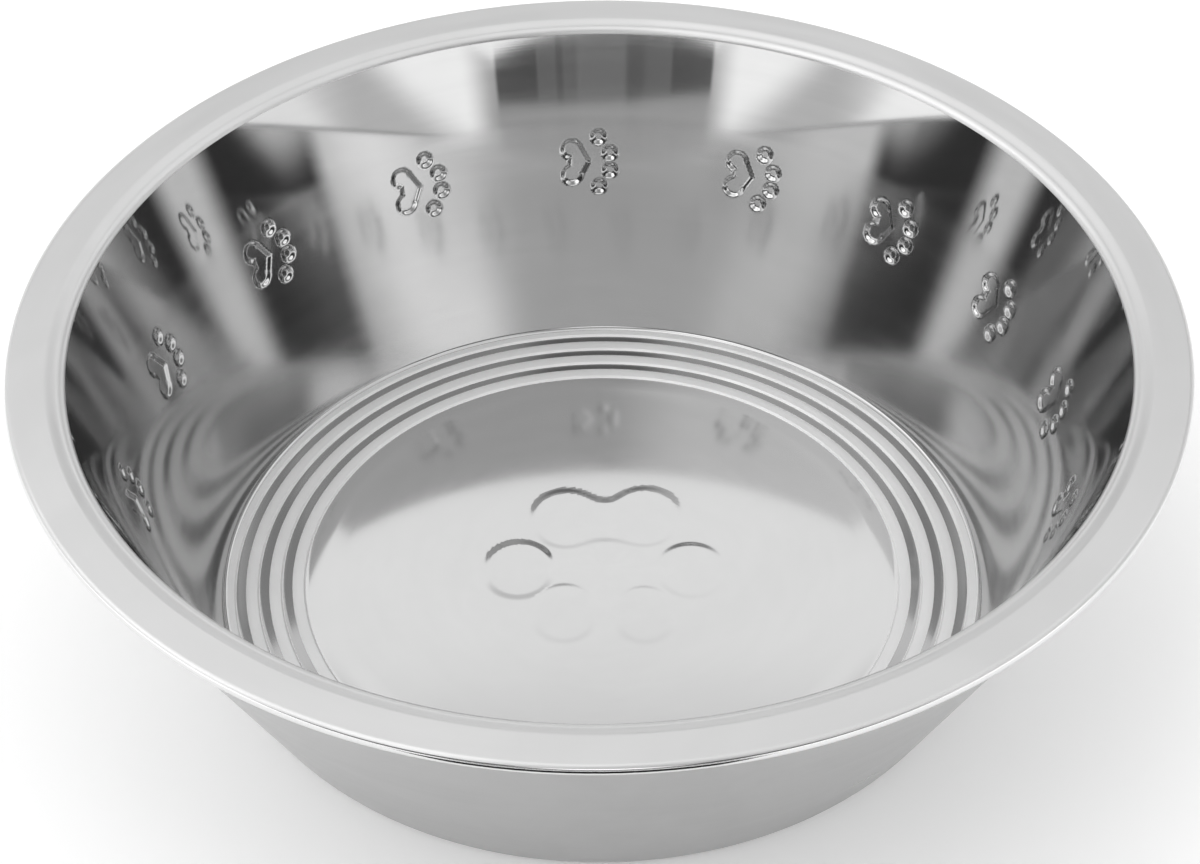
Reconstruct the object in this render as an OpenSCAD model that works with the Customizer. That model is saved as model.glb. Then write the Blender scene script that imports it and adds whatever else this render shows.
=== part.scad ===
// Double-walled stainless dog bowl: a polished inner bowl whose rolled rim grips
// the turned-out edge of an outer shell. The base rests on z = 0 and the axis is Z.
// +Y is the back of the bowl and the toes of the large paw point to the front.

/* [Rim] */
// Outer radius of the rolled rim
rim_r = 118; // [100:1:140]
// Radius of the rolled edge
roll_r = 1.2; // [1.1:0.1:1.6]
// Width of the flat flange inside the rolled edge
flange_w = 6.5; // [5:0.5:12]
// Depth of the shallow dish inside the flange
dish_h = 0.5; // [0.3:0.1:0.8]
// Width of the slope that leads into the dish
dish_w = 2.5; // [1.5:0.5:4]
// Bend radius where the flange turns down into the wall
shoulder_bend = 1.8; // [1.2:0.2:3]

/* [Inner bowl] */
// Thickness of both pressed sheets
sheet = 0.5; // [0.4:0.05:0.6]
// Depth of the floor below the rim
floor_depth = 66.8; // [54:0.2:90]
// Radius of the corner between floor and wall, before rounding
foot_r = 80.5; // [66:0.5:92]
// Radius of the rounding at the foot of the wall
foot_round = 1; // [0.8:0.2:4]

/* [Floor rings] */
// Number of satin rings pressed round the floor, the last one against the wall
ring_count = 4; // [1:1:6]
// Width of one ring
ring_w = 2.9; // [2:0.1:4]
// Polished gap between two rings
ring_gap = 2; // [1:0.1:3]
// Width of the last ring, up to the rounding at the foot of the wall
edge_ring_w = 1.9; // [1.2:0.1:3]
// Height of the rings above the floor
ring_h = 0.25; // [0.1:0.05:0.4]
// Width of the slope on each side of a ring
ring_slope = 0.5; // [0.3:0.1:0.6]

/* [Floor paw] */
// Width of the large paw over its toes
floor_paw_w = 51.7; // [40:1:60]
// Height of the large paw above the floor
floor_paw_h = 0.9; // [0.5:0.1:1.2]

/* [Wall paws] */
// Number of small paws round the wall
wall_paw_count = 16; // [4:1:18]
// Width of one small paw over its toes
wall_paw_w = 14.5; // [10:0.5:16]
// Depth pressed into the wall
wall_paw_h = 0.6; // [0.4:0.1:0.8]
// Height of the row below the rim
wall_paw_drop = 29.2; // [20:1:40]
// Direction of the first paw, clockwise from the back
wall_paw_start = -5.8; // [-11:0.1:11]
// Sideways drift of the row, which makes the spacing uneven
wall_paw_drift = 7.1; // [0:0.1:8]
// Direction in which the drift is largest
wall_paw_drift_at = 10.6; // [-20:0.1:20]

/* [Outer shell] */
// Air gap under the floor
floor_gap = 1; // [0.6:0.1:3]
// Gap between the two sheets at the foot
foot_gap = 0.2; // [0.1:0.05:0.5]
// Bend radius where the shell turns out under the flange
shell_bend = 0.6; // [0.4:0.1:1]
// Flat between that bend and the hooked edge
shell_land = 0.6; // [0.4:0.1:2]

/* [Hidden] */
$fn = 96;

// Facets of the small round shapes and steps of a bend
small_fn = 32;
bend_steps = 6;
// Running clearance inside the rolled edge
seam_gap = 0.05;
// Clearance between the end of the roll and the shell's wall
hem_gap = 0.3;
// Overrun of every cut
overrun = 1;
// How far up into the sheet a raised shape is bedded
bed_share = 0.2;

// Heights. The wall starts from the top of the last ring.
floor_z = 2 * sheet + floor_gap;
foot_z = floor_z + ring_h;
rim_z = floor_z + floor_depth;
dish_z = rim_z - dish_h;
hem_z = rim_z - 2 * roll_r;

// Radii of the flange, from the roll inward
roll_c = rim_r - roll_r;
flange_in_r = roll_c - flange_w;
shoulder_c = flange_in_r - dish_w;

// Slope of the inner wall from the vertical, between the foot and the shoulder.
// It is found in two passes, because the shoulder's bend moves the corner.
function corner_r(slope) = shoulder_c - shoulder_bend * tan((90 - slope) / 2);
function slope_to(r) = atan2(r - foot_r, dish_z - foot_z);
first_slope = slope_to(shoulder_c);
second_slope = slope_to(corner_r(first_slope));
wall_slope = slope_to(corner_r(second_slope));
foot_c = foot_r - foot_round * tan((90 - wall_slope) / 2);

// The shell's wall runs straight from its bend under the flange to the foot, which it
// passes with foot_gap to spare. shell_line is its distance from the axis's foot.
hook_r = roll_c - seam_gap;
turn = [hook_r - sheet - shell_land, rim_z - 2 * sheet - shell_bend];
foot = [foot_c, foot_z + foot_round];
foot_clear = foot_round + foot_gap + 2 * sheet;
shell_run = turn - foot;
shell_slope = atan2(shell_run[0], shell_run[1])
    - asin((shell_bend + foot_clear) / norm(shell_run));
shell_out = [cos(shell_slope), -sin(shell_slope)];
shell_line = turn * shell_out - shell_bend;
// Radius on the shell's outer face at a height
function shell_r(z) = (shell_line - z * shell_out[1]) / shell_out[0];
// Largest rounding of the base that keeps foot_gap all round the foot, and its centre
base_round = (foot[1] - foot_clear * sin(shell_slope)) / (1 - sin(shell_slope));
base_c = shell_r(base_round) - base_round / cos(shell_slope);
hem_in_r = shell_r(hem_z + sheet) + hem_gap;

// Points of an arc round c, from angle a to angle b
function arc(c, r, a, b, steps = bend_steps) =
    [for (i = [0:steps]) let (t = a + (b - a) * i / steps) c + r * [cos(t), sin(t)]];

// One ring across its slopes, starting at radius r, on a floor at height z
function ring(r, z) = [[r, z], [r + ring_slope, z + ring_h],
    [r + ring_w - ring_slope, z + ring_h], [r + ring_w, z]];

// The rings from the innermost out. The last one has no outer slope: its top runs
// into the foot's rounding.
edge_ring_r = foot_c - edge_ring_w;
function rings(z) = [
    for (i = [ring_count - 1:-1:1])
        for (p = ring(edge_ring_r - i * (ring_w + ring_gap), z)) p,
    [edge_ring_r, z],
    [edge_ring_r + ring_slope, z + ring_h]];

// Face of the inner bowl's sheet at depth d below its polished side, axis to roll
function bowl_face(d) = concat(
    [[0, floor_z - d]],
    rings(floor_z - d),
    arc(foot, foot_round + d, -90, -wall_slope),
    arc([shoulder_c, dish_z - shoulder_bend], shoulder_bend - d, 180 - wall_slope, 90),
    [[flange_in_r, rim_z - d]],
    arc([roll_c, rim_z - roll_r], roll_r - d, 90, -90),
    [[hem_in_r, hem_z + d]]);

// Face of the shell's sheet at depth d inside its outer side, axis to flange
function shell_face(d) = concat(
    [[0, d]],
    arc([base_c, base_round], base_round - d, -90, -shell_slope),
    arc(turn, shell_bend + d, 180 - shell_slope, 90));

function backwards(points) = [for (i = [len(points) - 1:-1:0]) points[i]];

// The hooked edge hangs from the flange to the lower leg of the roll
hook = [
    [hook_r - sheet, rim_z - 2 * sheet],
    [hook_r - sheet, hem_z + sheet],
    [hook_r, hem_z + sheet],
    [hook_r, rim_z - sheet]];

module sheet_round(lower, upper) {
    rotate_extrude() polygon(concat(lower, backwards(upper)));
}

// Small paw, toes to the right, as shares of its width over the toes
toe_d_share = 0.25;
outer_toe_share = [0.13, 0.40];
inner_toe_share = [0.30, 0.14];
lobe_share = [-0.295, 0.205];
lobe_d_share = 0.37;
tip_share = 0.02;
back_share = [-0.37, 0.07];

module small_disc(place, d) {
    translate(place) circle(d = d, $fn = small_fn);
}

// Both halves of a paw are mirror images
module both_sides() {
    children();
    mirror([0, 1]) children();
}

// Pad of the small paw: two lobes and straight sides that meet in a tip
module small_pad(w, grow) {
    lobe = w * lobe_share;
    lobe_r = w * lobe_d_share / 2;
    lead = lobe - [w * tip_share, 0];
    side = atan2(lead[1], lead[0]) - asin(lobe_r / norm(lead));
    tip = [w * tip_share + grow / sin(side), 0];
    touch = lobe + (lobe_r + grow) * [sin(side), -cos(side)];
    both_sides() {
        small_disc(lobe, 2 * (lobe_r + grow));
        polygon([tip, touch, lobe, w * back_share - [grow, 0], [w * back_share[0] - grow, 0]]);
    }
}

module small_paw(w, grow) {
    small_pad(w, grow);
    both_sides() for (place = [outer_toe_share, inner_toe_share])
        small_disc(w * place, w * toe_d_share + 2 * grow);
}

// Directions of the small paws, clockwise from the back. Each follows the toes,
// which lie ahead of the paw's own middle by half_step.
paw_z = rim_z - wall_paw_drop;
paw_r = foot_r + (paw_z - foot_z) * tan(wall_slope);
half_step = asin(wall_paw_w * (outer_toe_share[0] + inner_toe_share[0]) / 2 / paw_r);
function even_step(i) = wall_paw_start + i * 360 / wall_paw_count;
function paw_dir(i) =
    even_step(i) + wall_paw_drift * cos(even_step(i) - wall_paw_drift_at) - half_step;

// Small paws square to the wall, from height low to height high above its polished side
module wall_paws(grow, low, high) {
    for (i = [0:wall_paw_count - 1]) rotate([0, 0, -paw_dir(i)])
        translate([0, paw_r, paw_z]) rotate([90 - wall_slope, 0, 0])
            translate([0, 0, low]) linear_extrude(high - low)
                small_paw(wall_paw_w, grow);
}

// Large paw, toes to the front, as shares of its width: places and radii of the
// pad's four lobes, the bar between them, and the toes with their stretch
pad_lobe_shares = [
    [-0.145, 0.325, 0.147], [0.187, 0.335, 0.147],
    [-0.148, 0.240, 0.130], [0.182, 0.250, 0.135]];
pad_bar_share = [[-0.147, 0.150], [0.187, 0.405]];
toe_shares = [
    [-0.342, -0.012, 0.141, 0.029], [0.371, -0.027, 0.140, 0.023],
    [-0.153, -0.267, 0.125, 0.043], [0.172, -0.280, 0.113, 0.050]];

module large_toe(x, y, r, stretch) {
    for (side = [-stretch, stretch]) small_disc([x, y + side], 2 * r);
    translate([x - r, y - stretch]) square([2 * r, 2 * stretch]);
}

module large_paw(w, grow) {
    for (s = pad_lobe_shares * w) small_disc([s[0], s[1]], 2 * (s[2] + grow));
    low = pad_bar_share[0] * w - [0, grow];
    high = pad_bar_share[1] * w + [0, grow];
    translate(low) square(high - low);
    for (s = toe_shares * w) large_toe(s[0], s[1], s[2] + grow, s[3]);
}

module inner_bowl() {
    color("silver") difference() {
        union() {
            sheet_round(bowl_face(sheet), bowl_face(0));
            wall_paws(sheet, -wall_paw_h - sheet, -sheet * bed_share);
            translate([0, 0, floor_z - sheet * bed_share])
                linear_extrude(floor_paw_h + sheet * bed_share) large_paw(floor_paw_w, 0);
        }
        wall_paws(0, -wall_paw_h, overrun);
        translate([0, 0, floor_z - sheet - overrun])
            linear_extrude(floor_paw_h + overrun) large_paw(floor_paw_w, -sheet);
    }
}

module outer_shell() {
    color("gainsboro") sheet_round(concat(shell_face(0), hook), shell_face(sheet));
}

inner_bowl();
outer_shell();
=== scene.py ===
"""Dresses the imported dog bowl: a polished inner bowl with pressed paws and satin rings,
a satin outer shell, and the studio around them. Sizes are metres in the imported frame,
with the base on z = 0, the axis on Z and the back of the bowl at +Y."""

import math

import bpy
import numpy as np
from bpy.props import FloatProperty, FloatVectorProperty, IntProperty, PointerProperty
from mathutils import Matrix, Vector


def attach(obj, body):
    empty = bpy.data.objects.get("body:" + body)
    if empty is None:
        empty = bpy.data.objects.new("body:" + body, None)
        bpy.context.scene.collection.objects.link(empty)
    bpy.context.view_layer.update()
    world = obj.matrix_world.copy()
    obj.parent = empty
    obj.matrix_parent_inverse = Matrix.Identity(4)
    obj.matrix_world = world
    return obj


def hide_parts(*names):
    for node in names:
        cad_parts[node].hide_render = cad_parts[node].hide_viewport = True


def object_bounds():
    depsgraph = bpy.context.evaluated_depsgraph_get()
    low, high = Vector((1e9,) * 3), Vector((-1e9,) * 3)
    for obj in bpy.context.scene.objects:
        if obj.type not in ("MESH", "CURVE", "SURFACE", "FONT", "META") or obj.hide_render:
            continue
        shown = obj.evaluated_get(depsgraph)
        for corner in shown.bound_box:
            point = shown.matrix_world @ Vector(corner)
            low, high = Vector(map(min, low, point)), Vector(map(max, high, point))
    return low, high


bl_info = {
    "name": "Paw Print Dog Bowl",
    "version": (1, 0, 0),
    "blender": (4, 5, 0),
    "location": "3D View > Sidebar > Dog Bowl",
    "description": "Builds the polished bowl, its satin shell and a pale studio",
    "category": "Add Mesh",
}

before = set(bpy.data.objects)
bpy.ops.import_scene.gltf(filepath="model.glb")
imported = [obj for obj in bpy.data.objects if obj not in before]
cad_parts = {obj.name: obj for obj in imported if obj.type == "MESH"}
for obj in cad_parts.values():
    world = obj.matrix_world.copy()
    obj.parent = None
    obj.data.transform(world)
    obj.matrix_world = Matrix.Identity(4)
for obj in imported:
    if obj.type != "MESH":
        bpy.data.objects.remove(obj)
CAD_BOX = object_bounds()

MM = 0.001
RIM_REACH = min(-CAD_BOX[0][0], -CAD_BOX[0][1], CAD_BOX[1][0], CAD_BOX[1][1])
RIM_TOP = CAD_BOX[1][2]


def length(name, description, default):
    """A length in metres."""
    return FloatProperty(
        name=name, description=description, default=default, unit="LENGTH", precision=5
    )


def share(name, description, default, **more):
    """A plain number, most often between 0 and 1."""
    return FloatProperty(
        name=name, description=description, default=default, subtype="FACTOR", **more
    )


def angle(name, description, degrees):
    """An angle, given in degrees."""
    turn = math.radians(degrees)
    return FloatProperty(name=name, description=description, default=turn, subtype="ANGLE")


def shade(name, description, default):
    """A linear colour."""
    return FloatVectorProperty(
        name=name, description=description, default=default, subtype="COLOR", min=0, max=1
    )


class BowlSizes(bpy.types.PropertyGroup):
    """Sizes of the inner bowl and of the shell that hangs in its rolled edge."""

    rim_radius: length("Rim radius", "Outer radius of the rolled edge", RIM_REACH)
    rim_height: length("Rim height", "Height of the rim over the table", RIM_TOP)
    roll_radius: length("Roll radius", "Radius of the rolled edge", 1.2 * MM)
    flange_width: length("Flange width", "Flat flange inside the roll", 6.5 * MM)
    dish_depth: length("Dish depth", "Depth of the dish in the flange", 0.5 * MM)
    dish_width: length("Dish width", "Width of the slope into the dish", 2.5 * MM)
    shoulder_bend: length("Shoulder bend", "Bend from flange to wall", 1.8 * MM)
    sheet: length("Sheet", "Thickness of both pressed sheets", 0.5 * MM)
    floor_height: length("Floor height", "Height of the inner floor", 2.0 * MM)
    foot_radius: length("Foot radius", "Corner of floor and wall", 80.5 * MM)
    foot_round: length("Foot rounding", "Rounding at that corner", 1.0 * MM)
    hem_end: length("Hem end", "Where the roll's lower leg ends", 115.15 * MM)
    shell_slope: angle("Shell slope", "Slope of the shell's wall from the vertical", 27.07)
    shell_turn: length("Shell turn", "Centre of the bend under the flange", 115.65 * MM)
    shell_bend: length("Shell bend", "Radius of that bend", 0.6 * MM)
    base_round: length("Base rounding", "Rounding at the shell's base", 4.1 * MM)


class PressedWork(bpy.types.PropertyGroup):
    """The rings and paw prints that are pressed into the polished sheet."""

    ring_count: IntProperty(name="Rings", description="Rings round the floor", default=4)
    ring_start: length("Ring start", "Inner radius of the first ring", 63.15 * MM)
    ring_pitch: length("Ring pitch", "From one ring to the next", 4.92 * MM)
    ring_width: length("Ring width", "Width of one ring", 2.85 * MM)
    ring_height: length("Ring height", "Height over the floor", 0.13 * MM)
    ring_slope: length("Ring slope", "Width of a ring's inner slope", 0.6 * MM)
    groove_depth: length("Groove depth", "Deepest place between rings", 0.22 * MM)
    floor_crown: length("Floor crown", "How far the floor's middle bulges up", 0.9 * MM)
    floor_edge: length("Floor edge", "Width of the floor's rounded edge", 4.2 * MM)
    floor_paw_width: length("Floor paw", "Width of the large paw", 51.7 * MM)
    floor_paw_height: length("Floor paw height", "Height of its back edges", 0.30 * MM)
    floor_paw_slope: length("Floor paw slope", "Width of its soft border", 2.2 * MM)
    floor_paw_spread: length("Floor paw spread", "How far that border starts outside", 0.8 * MM)
    floor_paw_lean: share("Floor paw lean", "How much higher its left side stands", 0.35)
    floor_paw_front: share("Floor paw front", "Share of the height at its front edges", 0.22)
    paw_count: IntProperty(name="Wall paws", description="Paws round the wall", default=16)
    paw_width: length("Wall paw", "Width of one small paw", 14.5 * MM)
    paw_depth: length("Wall paw depth", "Depth pressed into the wall", 0.5 * MM)
    paw_slope: length("Wall paw slope", "Width of its sloping border", 1.25 * MM)
    paw_drop: length("Wall paw drop", "Height of the row below the rim", 29.2 * MM)
    paw_start: angle("First paw", "Direction of the first paw, clockwise from the back", -5.8)
    paw_drift: angle("Drift", "Sideways drift that makes the spacing uneven", 7.1)
    paw_drift_at: angle("Drift at", "Direction in which the drift is largest", 10.6)


class SteelFinish(bpy.types.PropertyGroup):
    """Colours and roughness of the steel."""

    steel: shade("Steel", "Colour of the polished and hidden steel", (0.50, 0.50, 0.50))
    # Darker than the other steel: painted shade in the grooves between the rings
    shaded_groove_steel: shade("Groove steel", "Colour between the rings", (0.35, 0.35, 0.35))
    ring_steel: shade("Ring steel", "Colour of the floor's satin rings", (0.79, 0.79, 0.79))
    flange_steel: shade("Flange steel", "Colour of the flange", (0.64, 0.64, 0.64))
    # Lighter than the other steel: a painted highlight along the rolled lip
    roll_highlight_steel: shade("Roll steel", "Colour of the rolled edge", (0.75, 0.75, 0.75))
    shell_steel: shade("Shell steel", "Colour of the outer wall", (0.515, 0.515, 0.515))
    wall_rough: share("Wall roughness", "Roughness of the wall near the rim", 0.03)
    low_rough: share("Low wall roughness", "Roughness of the wall's lower part", 0.09)
    haze: share("Haze", "Share of light that the polished wall scatters", 0.04)
    dull_low: length("Dull from", "Height under which the wall is duller", 46.5 * MM)
    dull_high: length("Dull to", "Height over which the wall is polished", 50.5 * MM)
    floor_rough: share("Floor roughness", "Roughness of the polished floor", 0.09)
    ring_rough: share("Ring roughness", "Roughness of the floor's rings", 0.58)
    flange_rough: share("Flange roughness", "Roughness of the flange", 0.36)
    roll_rough: share("Roll roughness", "Roughness of the rolled edge", 0.12)
    shell_rough: share("Shell roughness", "Roughness of the outer wall", 0.30)
    mill_rough: share("Mill roughness", "Roughness of the hidden sides", 0.42)
    line_spacing: length("Line spacing", "Spacing of the brushed lines", 0.35 * MM)
    line_relief: length("Line relief", "Relief of the brushed lines", 0.0006 * MM)


class StudioSetting(bpy.types.PropertyGroup):
    """Camera, floor and light."""

    focal_length: FloatProperty(
        name="Focal length",
        description="Focal length on a 36 mm wide sensor, in millimetres",
        default=93.98,
        unit="CAMERA",
    )
    camera_distance: length("Camera distance", "From the middle of the rim", 626.3 * MM)
    camera_height: angle("Camera height", "Angle of the camera over the rim", 39.738)
    camera_pitch: angle("Camera pitch", "Tilt away from the middle of the rim", 1.877)
    camera_roll: angle("Camera roll", "Roll of the picture", -0.654)
    floor_white: share("Floor white", "Colour of the floor", 0.90)
    floor_lift: share("Floor lift", "Backdrop's own white on the floor", 0.18)
    tent: share("Tent", "Strength of the light tent", 1.12, max=2)


# Shapes in the plane: each to_ function gives the distance to an outline, negative inside


def smooth(t):
    """Smooth step from 0 to 1."""
    t = np.clip(t, 0, 1)
    return t * t * (3 - 2 * t)


def soft_union(a, b, k):
    """Two distances joined with a fillet of about k."""
    h = np.clip(0.5 + 0.5 * (b - a) / k, 0, 1)
    return b * (1 - h) + a * h - k * h * (1 - h)


def to_disc(x, y, middle, radius):
    """Distance to a disc."""
    return np.hypot(x - middle[0], y - middle[1]) - radius


def to_capsule(x, y, middle, radius, stretch):
    """Distance to a disc that is stretched along y."""
    nearest = np.clip(y, middle[1] - stretch, middle[1] + stretch)
    return np.hypot(x - middle[0], y - nearest) - radius


def to_box(x, y, low, high):
    """Distance to an upright rectangle."""
    dx = np.maximum(low[0] - x, x - high[0])
    dy = np.maximum(low[1] - y, y - high[1])
    outside = np.hypot(np.maximum(dx, 0), np.maximum(dy, 0))
    return outside + np.minimum(np.maximum(dx, dy), 0)


def to_convex(x, y, corners):
    """Distance to a convex outline that runs counterclockwise."""
    far = np.full(np.shape(x), -1.0)
    for (ax, ay), (bx, by) in zip(corners, corners[1:] + corners[:1]):
        run = math.hypot(bx - ax, by - ay)
        far = np.maximum(far, ((x - ax) * (by - ay) - (y - ay) * (bx - ax)) / run)
    return far


# Small paw, toes to +x, as shares of its width. A toe is at its full depth where the
# distance from its edge, times TOE_STEEP, is its radius.
TOE_RADIUS = 0.148
TOE_STEEP = 1.45
OUTER_TOE = (0.13, 0.40)
INNER_TOE = (0.306, 0.14)
LOBE = (-0.295, 0.205)
LOBE_RADIUS = 0.188
PAD_TIP = 0.03
PAD_BACK = (-0.375, 0.06)
PAD_FILLET = 0.035

# Large paw, toes to -y, as shares of its width: x, y, radius and, for a toe, stretch
# along y and share of the height. PAD_SPAN is where the pad starts and ends along y, and
# PAW_ROOM is how far from its middle the whole paw reaches.
PAD_LOBES = (
    (-0.145, 0.325, 0.147),
    (0.187, 0.335, 0.147),
    (-0.148, 0.240, 0.130),
    (0.182, 0.250, 0.135),
)
PAD_BAR = ((-0.147, 0.150), (0.187, 0.405))
PAD_SPAN = (0.11, 0.47)
PAW_ROOM = 0.62
LARGE_TOES = (
    (-0.342, -0.012, 0.141, 0.029, 1.0),
    (0.371, -0.027, 0.140, 0.023, 0.6),
    (-0.153, -0.267, 0.125, 0.043, 0.32),
    (0.172, -0.280, 0.113, 0.050, 0.35),
)
LARGE_FILLET = 0.05


def small_paw(x, y, work):
    """How deep the small paw is at x, y, measured from its middle."""
    w, y = work.paw_width, np.abs(y)
    lobe, lobe_radius = (LOBE[0] * w, LOBE[1] * w), LOBE_RADIUS * w
    tip = PAD_TIP * w
    lead = (lobe[0] - tip, lobe[1])
    side = math.atan2(lead[1], lead[0]) - math.asin(lobe_radius / math.hypot(*lead))
    touch = (lobe[0] + lobe_radius * math.sin(side), lobe[1] - lobe_radius * math.cos(side))
    back = (PAD_BACK[0] * w, PAD_BACK[1] * w)
    half = [(tip, 0), touch, lobe, back]
    corners = half + [(px, -py) for px, py in half[:0:-1]]
    pad = soft_union(to_convex(x, y, corners), to_disc(x, y, lobe, lobe_radius), PAD_FILLET * w)
    deep = smooth(-pad / work.paw_slope)
    for toe in (OUTER_TOE, INNER_TOE):
        away = to_disc(x, y, (toe[0] * w, toe[1] * w), TOE_RADIUS * w)
        deep = np.maximum(deep, smooth(-away / (TOE_RADIUS * w) * TOE_STEEP))
    return deep * work.paw_depth


def large_paw(x, y, work):
    """How high the large paw stands over the floor at x, y."""
    w = work.floor_paw_width
    pad = to_box(x, y, *[(px * w, py * w) for px, py in PAD_BAR])
    for px, py, radius in PAD_LOBES:
        pad = soft_union(pad, to_disc(x, y, (px * w, py * w), radius * w), LARGE_FILLET * w)

    def dome(away, front, back):
        """A soft-edged rise that grows from the front to the back of one form."""
        tilt = np.clip((y / w - front) / (back - front), 0, 1)
        return smooth((work.floor_paw_spread - away) / work.floor_paw_slope) * (
            work.floor_paw_front + (1 - work.floor_paw_front) * tilt
        )

    high = dome(pad, *PAD_SPAN)
    for px, py, radius, stretch, part in LARGE_TOES:
        away = to_capsule(x, y, (px * w, py * w), radius * w, stretch * w)
        reach = radius + stretch
        high = np.maximum(high, part * dome(away, py - reach, py + reach))
    return high * work.floor_paw_height * (1 - work.floor_paw_lean * x / (0.5 * w))


def gradient(height, x, y, work, step=0.02 * MM):
    """Slopes of a height function along x and y."""
    return (
        (height(x + step, y, work) - height(x - step, y, work)) / (2 * step),
        (height(x, y + step, work) - height(x, y - step, work)) / (2 * step),
    )


# A profile is a list of (r, z, nr, nz, finish), from the axis outward. The normal
# points out of the sheet, and finish is the material slot of the strip that follows.
POLISHED, FLOOR, GROOVE, RING, FLANGE, ROLL, HIDDEN = range(7)


def straight(start, end, steps, finish, bias=1.0):
    """Points from start towards end without end itself."""
    (r0, z0), (r1, z1) = start, end
    run = math.hypot(r1 - r0, z1 - z0)
    nr, nz = -(z1 - z0) / run, (r1 - r0) / run
    shares = (np.arange(steps) / steps) ** bias
    return [(r0 + (r1 - r0) * t, z0 + (z1 - z0) * t, nr, nz, finish) for t in shares]


def bend(middle, radius, start, end, steps, finish, out=1):
    """Points of an arc, in degrees, without the last one. out is 1 where the normal
    points away from the middle and -1 where it points at it."""
    points = []
    for t in np.radians(start + (end - start) * np.arange(steps) / steps):
        c, s = math.cos(t), math.sin(t)
        place = (middle[0] + radius * c, middle[1] + radius * s)
        points.append((*place, out * c, out * s, finish))
    return points


def sloped(r, z, slope, finish):
    """A point of a surface that rises outward by slope."""
    run = math.hypot(1, slope)
    return r, z, -slope / run, 1 / run, finish


def rise(start, end, steps, finish):
    """A soft step in height between two radii, without its last point."""
    (r0, z0), (r1, z1) = start, end
    points = []
    for t in np.arange(steps) / steps:
        high = z0 + (z1 - z0) * float(smooth(t))
        slope = 6 * t * (1 - t) * (z1 - z0) / (r1 - r0)
        points.append(sloped(r0 + (r1 - r0) * t, high, slope, finish))
    return points


def crown(low, reach, high, radii, finish):
    """A floor at height low that bulges up by high in its middle and ends at reach."""
    return [
        sloped(r, low + high * (1 - (r / reach) ** 2), -2 * high * r / reach**2, finish)
        for r in radii
    ]


def fall(start, end, steps, finish):
    """A slope that starts level and grows steadily steeper, without its last point."""
    (r0, z0), (r1, z1) = start, end
    points = []
    for t in np.arange(steps) / steps:
        slope = 2 * t * (z1 - z0) / (r1 - r0)
        points.append(sloped(r0 + (r1 - r0) * t, z0 + (z1 - z0) * t * t, slope, finish))
    return points


class Shape:
    """Derived places of the inner bowl, in the profile's plane."""

    def __init__(self, bowl, work):
        self.bowl, self.work = bowl, work
        self.floor = bowl.floor_height
        self.foot_z = self.floor + work.ring_height
        self.rim = bowl.rim_height
        self.dish = self.rim - bowl.dish_depth
        self.hem = self.rim - 2 * bowl.roll_radius
        self.roll_c = bowl.rim_radius - bowl.roll_radius
        self.flange_in = self.roll_c - bowl.flange_width
        self.shoulder_c = self.flange_in - bowl.dish_width
        # The wall ends in a corner whose place depends on the wall's own slope
        slope = 0.0
        for _ in range(4):
            corner = self.shoulder_c
            if slope:
                corner -= bowl.shoulder_bend * math.tan((math.pi / 2 - slope) / 2)
            slope = math.atan2(corner - bowl.foot_radius, self.dish - self.foot_z)
        self.slope = slope
        self.foot_c = bowl.foot_radius - bowl.foot_round * math.tan((math.pi / 2 - slope) / 2)
        self.paw_z = self.rim - work.paw_drop
        self.paw_r = bowl.foot_radius + (self.paw_z - self.foot_z) * math.tan(slope)

    def wall(self, up):
        """The wall's radius and height at a distance up the wall from the paws' row."""
        return self.paw_r + up * math.sin(self.slope), self.paw_z + up * math.cos(self.slope)

    def paw_directions(self):
        """Directions of the small paws' middles, clockwise from the back."""
        work = self.work
        even = work.paw_start + np.arange(work.paw_count) * 2 * math.pi / work.paw_count
        lead = work.paw_width * (OUTER_TOE[0] + INNER_TOE[0]) / 2 / self.paw_r
        return even + work.paw_drift * np.cos(even - work.paw_drift_at) - lead


# The band of wall that holds the small paws, up and down and to both sides of a paw
PAW_HALF_HEIGHT = 8.3 * MM
PAW_REACH = (-7.6 * MM, 7.2 * MM)
# Direction on the rolled edge, in degrees over its outermost point, where its own shiny
# finish and its lighter colour, a painted highlight, start
ROLL_FROM = 40


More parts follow.
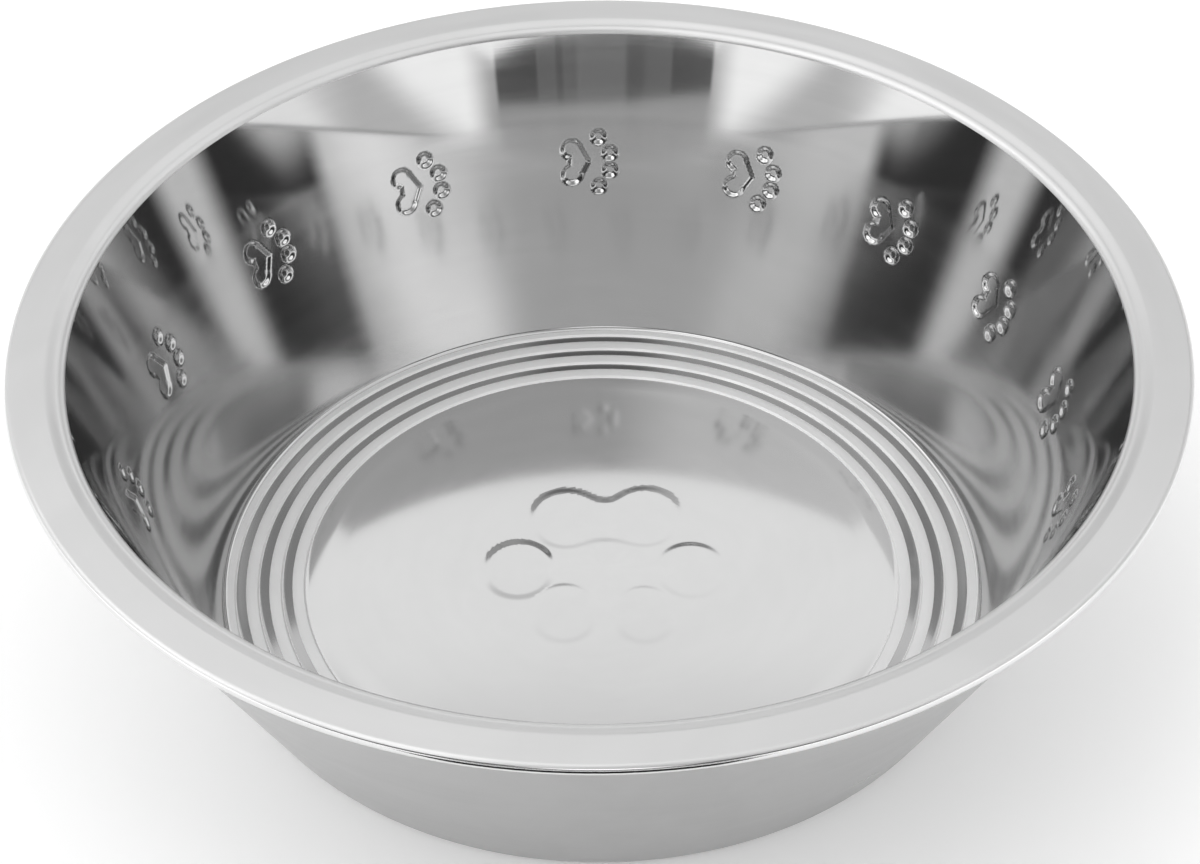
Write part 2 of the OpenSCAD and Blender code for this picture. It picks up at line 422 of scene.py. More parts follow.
def bowl_profile(shape, fine):
    """The polished face in three parts: below, along and above the row of paws. fine
    is how many steps a soft form gets, and the hidden side of the sheet has fewer."""
    bowl, work = shape.bowl, shape.work
    floor, top = shape.floor, shape.floor + work.ring_height
    paw_edge = PAW_ROOM * work.floor_paw_width
    fall_from, groove = work.ring_start - work.floor_edge, floor - work.groove_depth
    radii = np.linspace(0, paw_edge, 22 * fine, endpoint=False)[1:]
    radii = np.append(radii, np.linspace(paw_edge, fall_from, 4 * fine, endpoint=False))
    low = crown(floor, fall_from, work.floor_crown, radii.tolist(), FLOOR)
    low += fall((fall_from, floor), (work.ring_start, groove), 3 * fine, FLOOR)
    for i in range(work.ring_count):
        r0 = work.ring_start + i * work.ring_pitch
        r1 = r0 + work.ring_width
        low += rise((r0, groove), (r0 + work.ring_slope, top), 2 * fine, RING)
        if i == work.ring_count - 1:
            low += straight((r0 + work.ring_slope, top), (shape.foot_c, top), 2, RING)
            break
        low += straight((r0 + work.ring_slope, top), (r1, top), 2, RING)
        low += straight((r1, top), (r0 + work.ring_pitch, groove), 3, GROOVE)
    slope = math.degrees(shape.slope)
    foot = (shape.foot_c, top + bowl.foot_round)
    low += bend(foot, bowl.foot_round, -90, -slope, 3 * fine, POLISHED, -1)
    wall_start = (
        foot[0] + bowl.foot_round * math.cos(shape.slope),
        foot[1] - bowl.foot_round * math.sin(shape.slope),
    )
    band_start, band_end = shape.wall(-PAW_HALF_HEIGHT), shape.wall(PAW_HALF_HEIGHT)
    low += straight(wall_start, band_start, 4, POLISHED)
    band = straight(band_start, band_end, 22 * fine, POLISHED)
    shoulder = (shape.shoulder_c, shape.dish - bowl.shoulder_bend)
    wall_end = (
        shoulder[0] - bowl.shoulder_bend * math.cos(shape.slope),
        shoulder[1] + bowl.shoulder_bend * math.sin(shape.slope),
    )
    high = straight(band_end, wall_end, 5, POLISHED)
    high += bend(shoulder, bowl.shoulder_bend, 180 - slope, 90, 4 * fine, FLANGE)
    high += rise((shape.shoulder_c, shape.dish), (shape.flange_in, shape.rim), 4 * fine, FLANGE)
    high += straight((shape.flange_in, shape.rim), (shape.roll_c, shape.rim), 4, FLANGE)
    roll = (shape.roll_c, shape.rim - bowl.roll_radius)
    high += bend(roll, bowl.roll_radius, 90, ROLL_FROM, 3 * fine, FLANGE)
    high += bend(roll, bowl.roll_radius, ROLL_FROM, -90, 6 * fine, ROLL)
    return low, band, high


def even_turn(count):
    """Evenly spaced directions round the bowl."""
    return np.arange(count) * 2 * math.pi / count


def paw_turn(shape, across, between):
    """Directions round the bowl, close together where the paws are."""
    middles = np.sort(shape.paw_directions())
    low, high = (reach / shape.paw_r for reach in PAW_REACH)
    turns = []
    for here, after in zip(middles, np.append(middles[1:], middles[0] + 2 * math.pi)):
        turns.append(np.linspace(here + low, here + high, across, endpoint=False))
        turns.append(np.linspace(here + high, after + low, between, endpoint=False))
    return np.concatenate(turns)


class Skin:
    """Rings of points round the axis, joined one to the next into one closed mesh.
    A skin that starts on a side that faces down is flipped."""

    def __init__(self, flip=False):
        self.flip = flip
        self.points, self.normals, self.faces, self.slots = [], [], [], []
        self.count, self.last = 0, None

    def tip(self, z, up):
        """Closes the skin on the axis."""
        self.points.append(np.array([[0, 0, z]]))
        self.normals.append(np.array([[0, 0, up]]))
        self._join(np.array([self.count]), np.zeros(1), 0)
        self.count += 1

    def ring(self, turn, points, normals, finish):
        """Adds a ring of points that stand in the directions of turn."""
        self.points.append(points)
        self.normals.append(normals)
        self._join(np.arange(len(turn)) + self.count, turn, finish)
        self.count += len(turn)

    def _join(self, ids, turn, finish):
        """Faces between the last ring and this one."""
        if self.last is not None:
            old, old_turn, slot = self.last
            if len(old) == 1 or len(ids) == 1:
                rim = ids if len(old) == 1 else old
                pole = (old if len(old) == 1 else ids)[0]
                ends = zip(rim, np.roll(rim, -1))
                made = [(pole, b, a) if len(old) == 1 else (a, b, pole) for a, b in ends]
            elif len(old) == len(ids) and np.allclose(old_turn, turn):
                made = list(zip(old, np.roll(old, -1), np.roll(ids, -1), ids))
            else:
                made = self._merge(old, old_turn, ids, turn)
            self.faces += made
            self.slots += [slot if len(old) > 1 else finish] * len(made)
        self.last = (ids, turn, finish)

    @staticmethod
    def _merge(a, a_turn, b, b_turn):
        """Triangles between two rings whose points stand in different directions."""
        circle = 2 * math.pi
        shift = int(np.searchsorted(b_turn, a_turn[0]))
        b = np.roll(b, -shift)
        b_turn = np.concatenate([b_turn[shift:], b_turn[:shift] + circle])
        a_turn = np.append(a_turn, a_turn[0] + circle)
        b_turn = np.append(b_turn, b_turn[0] + circle)
        a_middle, b_middle = a_turn[1:] + a_turn[:-1], b_turn[1:] + b_turn[:-1]
        i = j = 0
        made = []
        while i < len(a) or j < len(b):
            if j >= len(b) or (i < len(a) and a_middle[i] <= b_middle[j]):
                made.append((a[i], a[(i + 1) % len(a)], b[j % len(b)]))
                i += 1
            else:
                made.append((a[i % len(a)], b[(j + 1) % len(b)], b[j]))
                j += 1
        return made

    def mesh(self, name, materials):
        """The skin as a Blender mesh with its own normals."""
        points, normals = np.concatenate(self.points), np.concatenate(self.normals)
        normals /= np.linalg.norm(normals, axis=1)[:, None]
        mesh = bpy.data.meshes.new(name)
        way = -1 if self.flip else 1
        faces = [[int(i) for i in face[::way]] for face in self.faces]
        mesh.from_pydata(points.tolist(), [], faces)
        for material in materials:
            mesh.materials.append(material)
        mesh.polygons.foreach_set("material_index", np.array(self.slots, np.int32))
        mesh.polygons.foreach_set("use_smooth", np.ones(len(mesh.polygons), bool))
        if mesh.validate(verbose=False):
            raise RuntimeError(f"{name}: the skin has faces that Blender had to mend")
        mesh.update()
        mesh.normals_split_custom_set_from_vertices(normals.tolist())
        return mesh


def spin(turn, row):
    """A profile row's points and normals in every direction of turn."""
    r, z, nr, nz, _ = row
    sin, cos = np.sin(turn), np.cos(turn)
    flat = np.ones(len(turn))
    return (
        np.column_stack([r * sin, r * cos, z * flat]),
        np.column_stack([nr * sin, nr * cos, nz * flat]),
    )


def press_floor(points, normals, work):
    """Raises the large paw out of floor points. Returns the new normals too."""
    x, y = points[:, 0], points[:, 1]
    slope_x, slope_y = gradient(large_paw, x, y, work)
    points, normals = points.copy(), normals.copy()
    points[:, 2] += large_paw(x, y, work)
    normals[:, 0] -= slope_x * normals[:, 2]
    normals[:, 1] -= slope_y * normals[:, 2]
    return points, normals


def press_wall(turn, points, normals, up, shape):
    """Presses the small paws into wall points that lie up the wall from the row."""
    work = shape.work
    middles = shape.paw_directions()
    off = (turn[:, None] - middles[None, :] + math.pi) % (2 * math.pi) - math.pi
    nearest = np.abs(off).argmin(1)
    off = off[np.arange(len(turn)), nearest]
    x = math.hypot(points[0, 0], points[0, 1]) * np.sin(off)
    y = np.full(len(x), up)
    deep = small_paw(x, y, work)
    slope_x, slope_y = gradient(small_paw, x, y, work)
    round_way = np.column_stack([np.cos(turn), -np.sin(turn), np.zeros(len(turn))])
    sin, cos = math.sin(shape.slope), math.cos(shape.slope)
    up_way = np.column_stack([sin * np.sin(turn), sin * np.cos(turn), np.full(len(turn), cos)])
    inward = normals
    return (
        points - inward * deep[:, None],
        inward + round_way * slope_x[:, None] + up_way * slope_y[:, None],
    )


# Steps round the bowl, and round the band of small paws across one and up to the next
FLOOR_TURNS = 240
BAND_ACROSS = 36
BAND_BETWEEN = 6


def inner_bowl_skin(shape):
    """Both faces of the inner sheet, from the axis over the roll and back."""
    bowl, work = shape.bowl, shape.work
    sheet = bowl.sheet
    skin = Skin()
    plain = even_turn(FLOOR_TURNS)
    paw_edge = PAW_ROOM * work.floor_paw_width

    def put(turn, points, normals, base, side, finish):
        """Adds a ring on the polished side, or one sheet below it on the hidden side."""
        if side > 0:
            skin.ring(turn, points, normals, finish)
        else:
            skin.ring(turn, points - base * sheet, -normals, HIDDEN)

    def lay(rows, turn, side):
        """Rows of floor, rim or roll."""
        for row in rows:
            points, normals = spin(turn, row)
            base = normals
            if row[0] < paw_edge:
                points, normals = press_floor(points, normals, work)
            put(turn, points, normals, base, side, row[4])

    def lay_band(rows, turn, side):
        """Rows of the wall with the small paws."""
        for row in rows:
            up = (row[1] - shape.paw_z) / math.cos(shape.slope)
            points, base = spin(turn, row)
            points, normals = press_wall(turn, points, base, up, shape)
            put(turn, points, normals, base, side, row[4])

    low, band, high = bowl_profile(shape, 2)
    middle = work.floor_crown + float(large_paw(np.zeros(1), np.zeros(1), work)[0])
    skin.tip(shape.floor + middle, 1)
    lay(low, plain, 1)
    lay_band(band, paw_turn(shape, BAND_ACROSS, BAND_BETWEEN), 1)
    lay(high, plain, 1)
    edge = bowl.hem_end + sheet / 2
    leg = straight((shape.roll_c, shape.hem), (edge, shape.hem), 2, FLANGE)
    end = bend((edge, shape.hem + sheet / 2), sheet / 2, -90, -270, 6, HIDDEN)
    lay(leg + end, plain, 1)
    low, band, high = bowl_profile(shape, 1)
    leg.reverse()
    lay([leg[0]], plain, -1)
    high.append((shape.roll_c, shape.hem, 0, -1, HIDDEN))
    lay(high[::-1], plain, -1)
    lay_band(band[::-1], paw_turn(shape, BAND_ACROSS // 2, BAND_BETWEEN // 2), -1)
    lay(low[::-1], plain, -1)
    skin.tip(shape.floor + middle - sheet, -1)
    return skin


# Clearance between the shell's hook and the middle of the rolled edge
HOOK_GAP = 0.05 * MM


def shell_skin(shape):
    """Both faces of the outer sheet, from the axis up the wall to the hooked edge."""
    bowl = shape.bowl
    sheet, slope = bowl.sheet, bowl.shell_slope
    degrees = math.degrees(slope)
    under = shape.rim - 2 * sheet
    turn_at = (bowl.shell_turn, under - bowl.shell_bend)
    out = (math.cos(slope), -math.sin(slope))
    line = turn_at[0] * out[0] + turn_at[1] * out[1] - bowl.shell_bend

    def radius_at(z):
        """The wall's outer radius at a height."""
        return (line - z * out[1]) / out[0]

    base_c = radius_at(bowl.base_round) - bowl.base_round / out[0]
    wall_end = (turn_at[0] - bowl.shell_bend * out[0], turn_at[1] - bowl.shell_bend * out[1])
    hook_out = shape.roll_c - HOOK_GAP
    hook_in = hook_out - sheet
    hook_low = shape.hem + sheet

    def face(deep, flat_steps, turns):
        """Rows of one face of the sheet, at a depth under its outer side."""
        base = (base_c, bowl.base_round)
        small = bowl.base_round - deep
        foot = (base_c + small * out[0], bowl.base_round + small * out[1])
        top = (wall_end[0] - deep * out[0], wall_end[1] - deep * out[1])
        rows = straight((0, deep), (base_c, deep), flat_steps, 0)[1:]
        rows += bend(base, small, -90, -degrees, turns, 0)
        rows += straight(foot, top, 24, 0)
        rows += bend(turn_at, bowl.shell_bend + deep, 180 - degrees, 90, 5, 0, -1)
        rows.append((turn_at[0], under + deep, 0, -1, 0))
        return [(r, z, *outward(nr, nz), slot) for r, z, nr, nz, slot in rows]

    def outward(nr, nz):
        """The same normal, turned to the shell's outside."""
        return (-nr, -nz) if nz > 0.001 or (abs(nz) <= 0.001 and nr < 0) else (nr, nz)

    skin = Skin(flip=True)
    plain = even_turn(FLOOR_TURNS)
    corner = math.sqrt(0.5)
    skin.tip(0, -1)
    for row in face(0, 10, 12):
        skin.ring(plain, *spin(plain, row), 0)
    hook = [
        (hook_in, under, -corner, -corner, 1),
        (hook_in, hook_low, -corner, -corner, 1),
        (hook_out, hook_low, corner, -corner, 1),
        (hook_out, under + sheet, corner, corner, 1),
    ]
    for row in hook:
        skin.ring(plain, *spin(plain, row), 1)
    for r, z, nr, nz, _ in face(sheet, 4, 4)[::-1]:
        skin.ring(plain, *spin(plain, (r, z, -nr, -nz, 1)), 1)
    skin.tip(sheet, 1)
    return skin


class Tree:
    """Short ways to add and link shader nodes."""

    def __init__(self, tree):
        self.tree = tree
        tree.nodes.clear()

    def node(self, kind, inputs=None, **settings):
        """Adds a node with its settings, and values or links for its inputs."""
        made = self.tree.nodes.new(kind)
        for key, value in settings.items():
            setattr(made, key, value)
        for key, value in (inputs or {}).items():
            self.feed(made.inputs[key], value)
        return made

    def feed(self, socket, value):
        """Links a socket to another, or sets its value."""
        if isinstance(value, bpy.types.NodeSocket):
            self.tree.links.new(value, socket)
        elif value is not None:
            socket.default_value = value

    def math(self, operation, *values):
        """One step of arithmetic."""
        made = self.node("ShaderNodeMath", operation=operation)
        for socket, value in zip(made.inputs, values):
            self.feed(socket, value)
        return made.outputs[0]

    def span(self, value, low, high, out_low=0.0, out_high=1.0, way="SMOOTHSTEP"):
        """A value spread from low..high to out_low..out_high."""
        made = self.node("ShaderNodeMapRange", interpolation_type=way, clamp=True)
        for name, number in (
            ("Value", value),
            ("From Min", low),
            ("From Max", high),
            ("To Min", out_low),
            ("To Max", out_high),
        ):
            self.feed(made.inputs[name], number)
        return made.outputs["Result"]

    def mix(self, part, a, b):
        """A value between a, where part is 0, and b, where it is 1."""
        inputs = {"Factor": part, "A": a, "B": b}
        return self.node("ShaderNodeMix", inputs, data_type="FLOAT").outputs["Result"]

    def bump(self, height, relief, normal=None):
        """The normal of a surface with a relief on it."""
        inputs = {"Height": height, "Distance": relief, "Strength": 1.0, "Normal": normal}
        return self.node("ShaderNodeBump", inputs).outputs["Normal"]

    def flat_length(self, x, y):
        """Length of the level part of a vector, kept over zero."""
        squares = self.math("MULTIPLY", x, x), self.math("MULTIPLY", y, y)
        return self.math("MAXIMUM", self.math("SQRT", self.math("ADD", *squares)), 0.0001)

    def noise(self, vector, scale, detail, rough):
        """A noise between 0 and 1."""
        return self.node(
            "ShaderNodeTexNoise",
            {"Vector": vector, "Scale": scale, "Detail": detail, "Roughness": rough},
        ).outputs["Fac"]

    def group(self, build, **values):
        """Places the node group that a function builds, with values for its inputs, and
        gives its outputs. A group is built once, under the function's name."""
        name = build.__name__
        group = bpy.data.node_groups.get(name) or build(name)
        return self.node("ShaderNodeGroup", values, node_tree=group).outputs


FLOAT = "NodeSocketFloat"


def new_group(name, inputs, outputs):
    """A shader node group whose sockets are numbers, and its two end nodes."""
    group = bpy.data.node_groups.new(name, "ShaderNodeTree")
    for title, default in inputs.items():
        socket = group.interface.new_socket(title, in_out="INPUT", socket_type=FLOAT)
        socket.default_value = default
    for title in outputs:
        group.interface.new_socket(title, in_out="OUTPUT", socket_type=FLOAT)
    tree = Tree(group)
    return group, tree, tree.node("NodeGroupInput"), tree.node("NodeGroupOutput")


def brushed_lines(name):
    """Lines that run round the axis: Lines is their relief and Streaks a slower change
    of finish. The lines follow radius plus height, so they lie across every face."""
    inputs = {"Spacing": 0.00035, "Length": 3.0, "Streak Width": 0.004}
    group, tree, start, end = new_group(name, inputs, ("Lines", "Streaks"))
    place = tree.node("ShaderNodeTexCoord").outputs["Object"]
    x, y, z = tree.node("ShaderNodeSeparateXYZ", {"Vector": place}).outputs
    radius = tree.flat_length(x, y)
    along = tree.math("ADD", radius, z)
    sine, cosine = (
        tree.math("MULTIPLY", tree.math("DIVIDE", way, radius), start.outputs["Length"])
        for way in (x, y)
    )
    for output, width, detail in (("Lines", "Spacing", 3.0), ("Streaks", "Streak Width", 2.0)):
        across = tree.math("DIVIDE", along, start.outputs[width])
        vector = tree.node("ShaderNodeCombineXYZ", {"X": across, "Y": sine, "Z": cosine})
        noise = tree.noise(vector.outputs["Vector"], 1.0, detail, 0.6)
        tree.feed(end.inputs[output], noise)
    return group


# How the smears are bent: scale and share of the bending noise. Then the part of the
# noise that shows as smears.
BEND_SCALE, BEND_SHARE = 9.0, 0.12
SMEAR_SPAN = (0.35, 0.7)


def handling_smears(name):
    """Faint smears and wipes of a used bowl, as one mask."""
    group, tree, start, end = new_group(name, {"Scale": 40.0}, ["Smears"])
    place = tree.node("ShaderNodeTexCoord").outputs["Object"]
    twist = tree.node(
        "ShaderNodeTexNoise", {"Vector": place, "Scale": BEND_SCALE, "Detail": 1.0}
    )
    bent = tree.node(
        "ShaderNodeMixRGB",
        {"Fac": BEND_SHARE, "Color1": place, "Color2": twist.outputs["Color"]},
    )
    smears = tree.noise(bent.outputs["Color"], start.outputs["Scale"], 3.0, 0.55)
    tree.feed(end.inputs["Smears"], tree.span(smears, *SMEAR_SPAN))
    return group


def satin_grain(name):
    """Fine even grain of a satin finish."""
    group, tree, start, end = new_group(name, {"Scale": 2500.0}, ["Grain"])
    place = tree.node("ShaderNodeTexCoord").outputs["Object"]
    tree.feed(end.inputs["Grain"], tree.noise(place, start.outputs["Scale"], 2.0, 0.6))
    return group


def new_material(name):
    """A material and its empty node tree."""
    material = bpy.data.materials.new(name)
    material.use_nodes = True
    return material, Tree(material.node_tree)


# The part of the noise that shows as streaks, and how far streaks and smears change
# the steel's brightness and roughness
STREAKS = (0.3, 0.7)
BRIGHT_SWING = 0.03
STREAKS_DULL = 0.1
SMEARS_DULL = 0.3
# Highlights are stretched across the brushed lines, a quarter turn from their way
ACROSS_LINES = 0.25


def steel_material(
    name, finish, steel, rough, stretch, lines, smears, grain=0.0, low_rough=None, haze=0.0
):
    """Steel with lines round the axis. rough is the middle roughness, stretch draws the
    highlights out, lines scales the lines' relief, smears is how much handling and
    streaks show, grain is the satin's relief, low_rough is the roughness low on the wall,
    and haze is the share of light that the polish scatters."""
    material, tree = new_material(name)
    brushed = tree.group(brushed_lines, Spacing=finish.line_spacing)
    smear = tree.group(handling_smears)["Smears"]
    uneven = BRIGHT_SWING * smears
    bright = tree.span(brushed["Streaks"], *STREAKS, 1 - uneven, 1 + uneven, "LINEAR")
    bright = tree.math("MULTIPLY", bright, tree.span(smear, 0, 1, 1, 1 - uneven, "LINEAR"))
    colour = tree.node("ShaderNodeVectorMath", operation="SCALE")
    colour.inputs[0].default_value = steel
    tree.feed(colour.inputs["Scale"], bright)
    sharp, soft = rough * (1 - STREAKS_DULL), rough * (1 + STREAKS_DULL)
    dull = tree.span(brushed["Streaks"], *STREAKS, sharp, soft, "LINEAR")
    if low_rough:
        place = tree.node("ShaderNodeTexCoord").outputs["Object"]
        high = tree.node("ShaderNodeSeparateXYZ", {"Vector": place}).outputs["Z"]
        more = tree.span(high, finish.dull_low, finish.dull_high, low_rough / rough, 1.0)
        dull = tree.math("MULTIPLY", dull, more)
    wiped = tree.span(smear, 0, 1, 1, 1 + SMEARS_DULL * smears, "LINEAR")
    dull = tree.math("MULTIPLY", dull, wiped)
    normal = tree.bump(brushed["Lines"], finish.line_relief * lines)
    if grain:
        normal = tree.bump(tree.group(satin_grain)["Grain"], grain, normal)
    around = tree.node("ShaderNodeTangent", direction_type="RADIAL", axis="Z")
    made = tree.node(
        "ShaderNodeBsdfPrincipled",
        {
            "Base Color": colour.outputs["Vector"],
            "Metallic": 1.0 - haze,
            "Roughness": dull,
            "Anisotropic": stretch,
            "Anisotropic Rotation": ACROSS_LINES,
            "Normal": normal,
            "Tangent": around.outputs["Tangent"],
        },
    )
    tree.node("ShaderNodeOutputMaterial", {"Surface": made.outputs["BSDF"]})
    return material


def link(name, data):
    """Puts a new object into the scene."""
    made = bpy.data.objects.new(name, data)
    bpy.context.scene.collection.objects.link(made)
    return made


# Mill finish of the sheets' hidden sides
MILL = {"stretch": 0.2, "lines": 1, "smears": 0}


class DOGBOWL_OT_inner_bowl(bpy.types.Operator):
    """Builds the polished inner bowl with its rings, paws, flange and rolled edge"""

    bl_idname = "dogbowl.inner_bowl"
    bl_label = "Inner bowl"

    def execute(self, context):
        scene = context.scene
        look = scene.dogbowl_finish
        shape = Shape(scene.dogbowl_sizes, scene.dogbowl_pressed)
        wall = {"stretch": 0.5, "lines": 0.35, "smears": 0.6}
        wall.update(low_rough=look.low_rough, haze=look.haze)
        floor = {"stretch": 0.4, "lines": 0.08, "smears": 0.4, "grain": 0.0012 * MM}
        groove = {"stretch": 0.4, "lines": 0.5, "smears": 1}
        ring = {"stretch": 0.2, "lines": 1, "smears": 0.3, "grain": 0.002 * MM}
        flange = {"stretch": 0.5, "lines": 1, "smears": 0.5, "grain": 0.001 * MM}
        roll = {"stretch": 0.3, "lines": 0.5, "smears": 0.3}
        # In the order of the slots, from POLISHED to HIDDEN
        finishes = [
            steel_material(name, look, steel, rough, **more)
            for name, steel, rough, more in (
                ("polished_wall", look.steel, look.wall_rough, wall),
                ("polished_floor", look.steel, look.floor_rough, floor),
                # The grooves' darker colour is painted shade between the rings
                ("ring_grooves", look.shaded_groove_steel, look.floor_rough, groove),
                ("satin_rings", look.ring_steel, look.ring_rough, ring),
                ("satin_flange", look.flange_steel, look.flange_rough, flange),
                # The rolled edge's lighter colour is a painted highlight along the lip
                ("rolled_edge", look.roll_highlight_steel, look.roll_rough, roll),
                ("mill_steel", look.steel, look.mill_rough, MILL),
            )
        ]
        mesh = inner_bowl_skin(shape).mesh("inner_bowl_skin", finishes)
        bowl = link("polished_bowl", mesh)
        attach(bowl, "root")
        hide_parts("inner_bowl")
        return {"FINISHED"}


class DOGBOWL_OT_outer_shell(bpy.types.Operator):
    """Builds the satin outer shell that hangs in the rolled edge"""

    bl_idname = "dogbowl.outer_shell"
    bl_label = "Outer shell"

    def execute(self, context):
        scene = context.scene
        look = scene.dogbowl_finish
        shape = Shape(scene.dogbowl_sizes, scene.dogbowl_pressed)
        satin = {"stretch": 0.5, "lines": 1, "smears": 0.6, "grain": 0.001 * MM}
        finishes = (
            steel_material(
                "satin_shell_steel", look, look.shell_steel, look.shell_rough, **satin
            ),
            steel_material("mill_steel_shell", look, look.steel, look.mill_rough, **MILL),
        )
        shell = link("satin_shell", shell_skin(shape).mesh("outer_shell_skin", finishes))
        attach(shell, "root")
        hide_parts("outer_shell")
        return {"FINISHED"}


# Windows in the light tent: direction clockwise from the back, half width and soft
# edge, lowest and highest elevation and soft edge, all in degrees, then the strength.
# Two more numbers say how many degrees the top and bottom edges sag towards the sides,
# or rise where the number is negative.
WINDOWS = (
    ("left ceiling", -75, 68, 35, 56.5, 95, 6.6, 1.76),
    ("left softbox", -79, 43, 31, 37.9, 46.8, 4.3, 2.9),
    ("left gap under it", -67, 66, 7, 24, 32.6, 1, 0.6),
    ("left strip over it", -119, 50, 15, 46.1, 53.7, 0.5, 1.64),
    ("right softbox", 88, 47, 2, 38.7, 45.6, 2.4, 2.0),
    ("right gap over it", 76, 27, 6, 47.1, 54.4, 0.9, 0.75),
    ("right gap under it", 65, 83, 9, 25.4, 37.6, 2.9, 0.27),
    ("back sky", 5, 50, 15, 38, 60, 2.5, 1.4),
    ("back sweep", 2, 41, 8, 50, 62, 4, 0.92),
    ("front sky", 178, 26, 12, 42, 70, 6, 0.45),
    ("dark front", -173, 45, 17, 10, 36.6, 1.1, 0.08),
    ("left floor strip", -108, 33, 34, -6.5, 14.7, 7, 1.7),
    ("right floor strip", 125, 33, 4, -3, 13.9, 0.8, 1.44),
    ("front lamp", 216, 15, 9, 38, 55.1, 6, 2.4),
    ("left front card", -155, 48, 35, 22.3, 26.6, 6.9, 1.77),
    ("dark side cards", 180, 59, 5, 20, 33.8, 0.6, 0.02, -6.8, 0),
    ("front stripe", 180, 11, 7, 20.7, 36, 4, 1.9),
    ("front wall", 180, 50, 15, 5.6, 9.8, 0.8, 1.72),
    ("front wall's foot", 180, 60, 10, 3, 5.6, 0.6, 0.85),
    ("dark table front", 180, 24, 4, -6, 5, 1, 0.12),
    ("table edge", 181, 26, 4, 5, 7.6, 0.06, 0.63, 0, 0.5),
    ("dark stand", 181.7, 23, 0.5, 7.38, 8.77, 0.05, 0.10, 1.08, 0.57),
    ("inside the stand", 181.8, 14.3, 0.4, 7.38, 8.66, 0.06, 0.20, 0.42, 0.22),
    ("middle of the stand", 181.2, 5.2, 0.4, 7.38, 8.6, 0.06, 0.26, 0.06, 0.03),
    ("left line", 172.3, 0.7, 0.3, 7.3, 8.6, 0.06, 0.14),
    ("right line", 188.5, 1.8, 1, 7.3, 8.6, 0.06, 0.15),
)


def window(tree, place, angles):
    """How far a direction lies inside a window, from 0 to 1. place is the direction's x,
    y, level length and elevation, and angles are those of the window, in degrees."""
    x, y, level, height = place
    turn, half, soft, low, high, edge, top_sag, low_sag = map(math.radians, angles)
    parts = tree.math("MULTIPLY", x, math.sin(turn)), tree.math("MULTIPLY", y, math.cos(turn))
    facing = tree.math("DIVIDE", tree.math("ADD", *parts), level)
    facing = tree.math("MINIMUM", tree.math("MAXIMUM", facing, -1.0), 1.0)
    off = tree.math("ARCCOSINE", facing)
    inside = tree.span(off, half + soft, max(half - soft, 0))
    out = tree.math("DIVIDE", off, half)
    out = tree.math("MULTIPLY", out, out)
    edges = (low_sag, low - edge, low + edge), (top_sag, high + edge, high - edge)
    for sag, dark, clear in edges:
        raised = tree.math("MULTIPLY_ADD", out, sag, height) if sag else height
        inside = tree.math("MULTIPLY", inside, tree.span(raised, dark, clear))
    return inside


# Half the width of the pale floor
FLOOR_HALF = 3.0
# Corners of the black flag, which widens away from the bowl, and its height
FLAG = ((-0.34, -0.55), (0.26, -0.55), (0.042, -0.17), (-0.058, -0.17))
FLAG_HEIGHT = 0.002
FLAG_COLOUR = (0.02, 0.02, 0.02, 1)
# Nearest and farthest distance that the camera sees
CAMERA_SPAN = (0.01, 20)


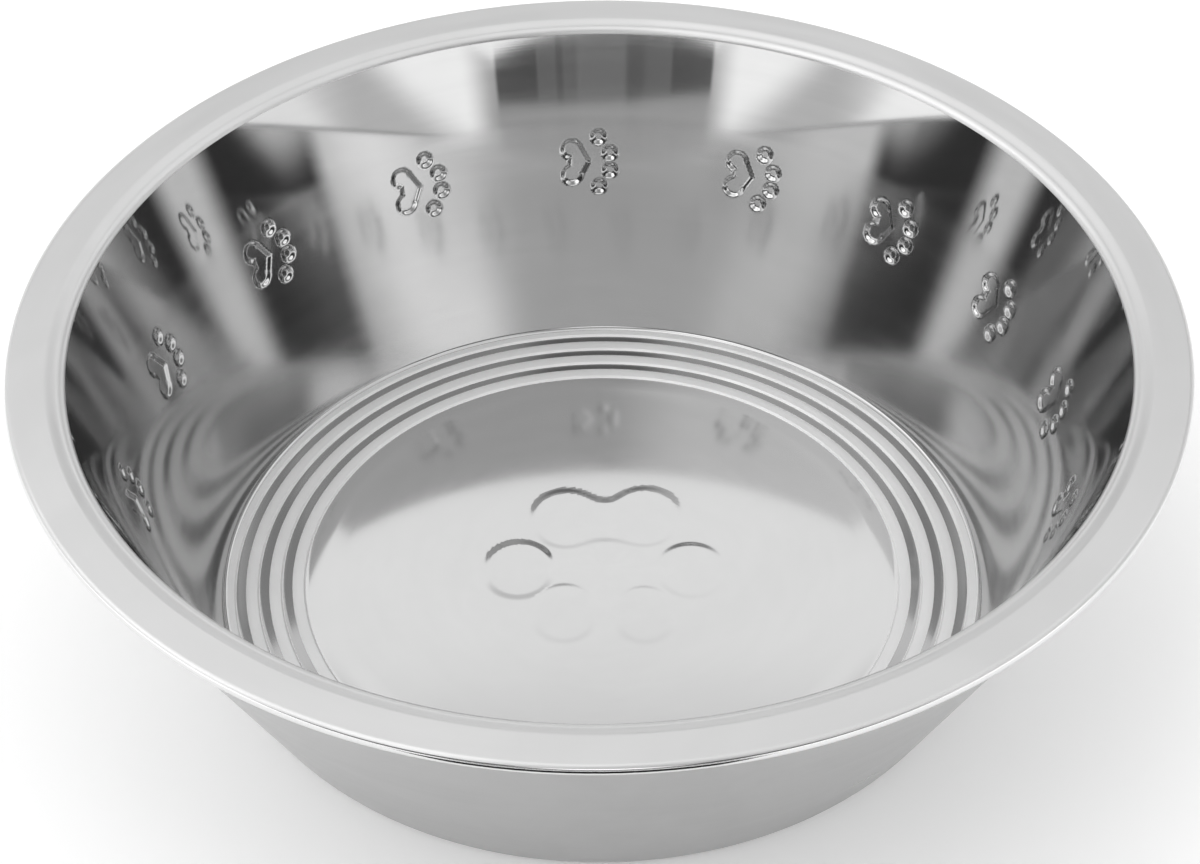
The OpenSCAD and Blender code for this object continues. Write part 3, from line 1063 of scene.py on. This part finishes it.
class DOGBOWL_OT_studio(bpy.types.Operator):
    """Sets up the pale floor, the light tent and the camera"""

    bl_idname = "dogbowl.studio"
    bl_label = "Studio"

    def execute(self, context):
        setting = context.scene.dogbowl_studio
        self.floor(setting)
        self.flag()
        self.tent(context.scene, setting)
        self.camera(context.scene, setting)
        context.scene.view_settings.view_transform = "Standard"
        return {"FINISHED"}

    def floor(self, setting):
        """A matt floor that the camera and mirrors see as nearly white."""
        mesh = bpy.data.meshes.new("studio_floor")
        sides = ((-1, -1), (1, -1), (1, 1), (-1, 1))
        places = [(FLOOR_HALF * x, FLOOR_HALF * y, 0) for x, y in sides]
        mesh.from_pydata(places, [], [(0, 1, 2, 3)])
        material, tree = new_material("studio_floor")
        path = tree.node("ShaderNodeLightPath").outputs
        seen = tree.math(
            "MAXIMUM",
            tree.math("MAXIMUM", path["Is Camera Ray"], path["Is Glossy Ray"]),
            path["Is Transmission Ray"],
        )
        own = tree.node(
            "ShaderNodeEmission", {"Strength": tree.math("MULTIPLY", seen, setting.floor_lift)}
        )
        white = (setting.floor_white,) * 3 + (1,)
        matt = tree.node("ShaderNodeBsdfDiffuse", {"Color": white})
        both = tree.node("ShaderNodeAddShader")
        tree.feed(both.inputs[0], matt.outputs[0])
        tree.feed(both.inputs[1], own.outputs[0])
        tree.node("ShaderNodeOutputMaterial", {"Surface": both.outputs[0]})
        mesh.materials.append(material)
        link("studio_floor", mesh)

    def flag(self):
        """A black flag in front of the bowl, seen only in the steel, mostly in the lip."""
        mesh = bpy.data.meshes.new("studio_flag")
        mesh.from_pydata([(x, y, FLAG_HEIGHT) for x, y in FLAG], [], [(0, 1, 2, 3)])
        material, tree = new_material("studio_flag")
        cloth = tree.node("ShaderNodeBsdfDiffuse", {"Color": FLAG_COLOUR})
        tree.node("ShaderNodeOutputMaterial", {"Surface": cloth.outputs[0]})
        mesh.materials.append(material)
        flag = link("studio_flag", mesh)
        flag.visible_camera = flag.visible_shadow = flag.visible_diffuse = False

    def tent(self, scene, setting):
        """A bright world with darker and brighter windows, white for the camera."""
        world = bpy.data.worlds.new("light_tent")
        scene.world = world
        world.use_nodes = True
        tree = Tree(world.node_tree)
        way = tree.node("ShaderNodeTexCoord").outputs["Generated"]
        x, y, z = tree.node("ShaderNodeSeparateXYZ", {"Vector": way}).outputs
        level = tree.flat_length(x, y)
        place = (x, y, level, tree.math("ARCTAN2", z, level))
        strength = setting.tent
        for _, turn, half, soft, low, high, edge, value, *sags in WINDOWS:
            angles = (turn, half, soft, low, high, edge, *(sags or (0, 0)))
            strength = tree.mix(window(tree, place, angles), strength, value)
        path = tree.node("ShaderNodeLightPath").outputs
        shown = tree.mix(path["Is Camera Ray"], strength, 1.0)
        lamp = tree.node("ShaderNodeBackground", {"Color": (1, 1, 1, 1), "Strength": shown})
        tree.node("ShaderNodeOutputWorld", {"Surface": lamp.outputs[0]})

    def camera(self, scene, setting):
        """The photograph's camera, aimed at the rim's middle, then tilted and rolled."""
        data = bpy.data.cameras.new("camera")
        data.sensor_fit = "HORIZONTAL"
        data.sensor_width = 36.0
        data.lens = setting.focal_length
        data.clip_start, data.clip_end = CAMERA_SPAN
        camera = link("camera", data)
        rise_by, far = setting.camera_height, setting.camera_distance
        out = Vector((0, -math.cos(rise_by), math.sin(rise_by)))
        ahead, right = -out, Vector((1, 0, 0))
        over = right.cross(ahead)
        facing = Matrix((right, -over, ahead))
        tilt = Matrix.Rotation(setting.camera_pitch, 3, "X")
        roll = Matrix.Rotation(setting.camera_roll, 3, "Z")
        rows = roll @ tilt @ facing
        middle = Vector((0, 0, scene.dogbowl_sizes.rim_height))
        axes = Matrix((rows[0], -rows[1], -rows[2])).transposed()
        camera.matrix_world = Matrix.Translation(middle + out * far) @ axes.to_4x4()
        scene.camera = camera


class DOGBOWL_PT_panel(bpy.types.Panel):
    """Lists the steps that build the bowl"""

    bl_idname = "DOGBOWL_PT_panel"
    bl_label = "Dog Bowl"
    bl_space_type = "VIEW_3D"
    bl_region_type = "UI"
    bl_category = "Dog Bowl"

    def draw(self, context):
        for name in GROUPS:
            group = getattr(context.scene, name)
            box = self.layout.box()
            for key in group.bl_rna.properties.keys():
                if key not in ("rna_type", "name"):
                    box.prop(group, key)
        for step in STEPS:
            self.layout.operator(step.bl_idname)


STEPS = (DOGBOWL_OT_inner_bowl, DOGBOWL_OT_outer_shell, DOGBOWL_OT_studio)
GROUPS = {
    "dogbowl_sizes": BowlSizes,
    "dogbowl_pressed": PressedWork,
    "dogbowl_finish": SteelFinish,
    "dogbowl_studio": StudioSetting,
}


def register():
    """Registers the settings, the steps and the panel."""
    for name, group in GROUPS.items():
        bpy.utils.register_class(group)
        setattr(bpy.types.Scene, name, PointerProperty(type=group))
    for step in STEPS:
        bpy.utils.register_class(step)
    bpy.utils.register_class(DOGBOWL_PT_panel)


def unregister():
    """Takes them all out again."""
    bpy.utils.unregister_class(DOGBOWL_PT_panel)
    for step in reversed(STEPS):
        bpy.utils.unregister_class(step)
    for name, group in reversed(GROUPS.items()):
        delattr(bpy.types.Scene, name)
        bpy.utils.unregister_class(group)


def corners(box):
    """A box as plain lists of numbers."""
    return [[float(v) for v in corner] for corner in box]


def main():
    """Builds the bowl and its studio."""
    register()
    bpy.ops.dogbowl.inner_bowl()
    bpy.ops.dogbowl.outer_shell()
    bpy.ops.dogbowl.studio()
    bpy.context.view_layer.update()


if __name__ == "__main__":
    main()
